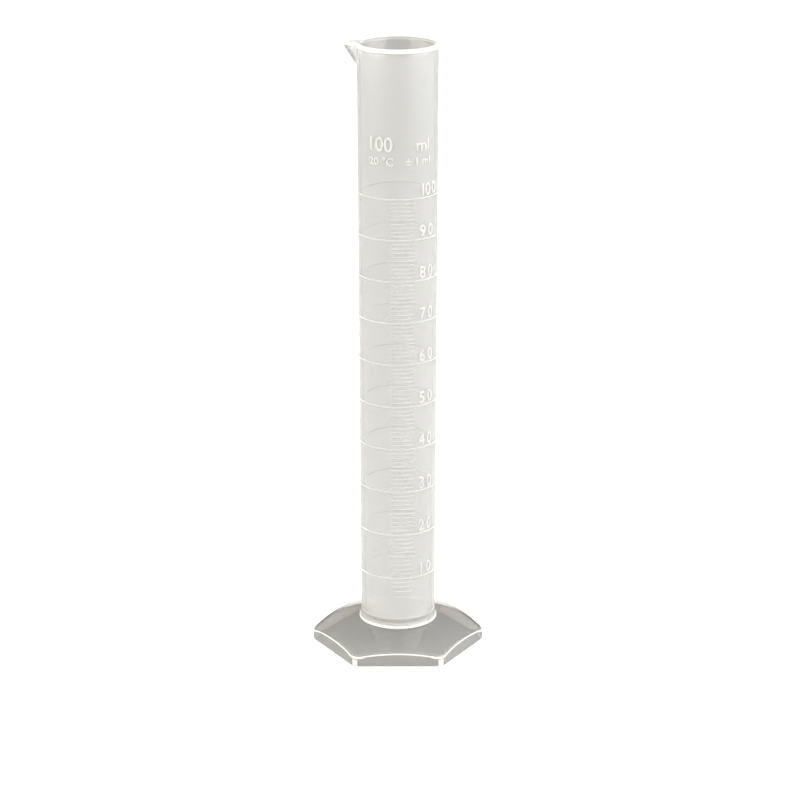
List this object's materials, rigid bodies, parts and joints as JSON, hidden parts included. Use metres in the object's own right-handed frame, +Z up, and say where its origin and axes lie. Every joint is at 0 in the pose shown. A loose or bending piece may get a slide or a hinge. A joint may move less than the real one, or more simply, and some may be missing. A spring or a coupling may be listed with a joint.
{
  "type": "graduated cylinder",
  "caption": "Tall milky plastic measuring cylinder with a V-shaped pouring spout, raised volume rings and a clear six-sided foot.",
  "frame": {"origin": "on the floor, in the middle of the hexagonal foot, on the tube's axis", "axes": "+Z up along the tube; -Y towards the side with the scale; the pouring spout points to -X, turned 8 degrees towards +Y"},
  "size_m": [0.0688, 0.0608, 0.2442],
  "materials": {
    "milky_plastic": "translucent, unpigmented polypropylene, satin",
    "clear_plastic": "clear, glossy moulded plastic"
  },
  "bodies": {
    "foot": {"hexagonal_foot": "clear_plastic"},
    "tube": {"measuring_tube": "milky_plastic"}
  },
  "joints": [
    {"name": "tube_pull", "type": "slide", "parent": "foot", "child": "tube", "axis": [0, 0, 1], "range_m": [0, 0.006]}
  ]
}
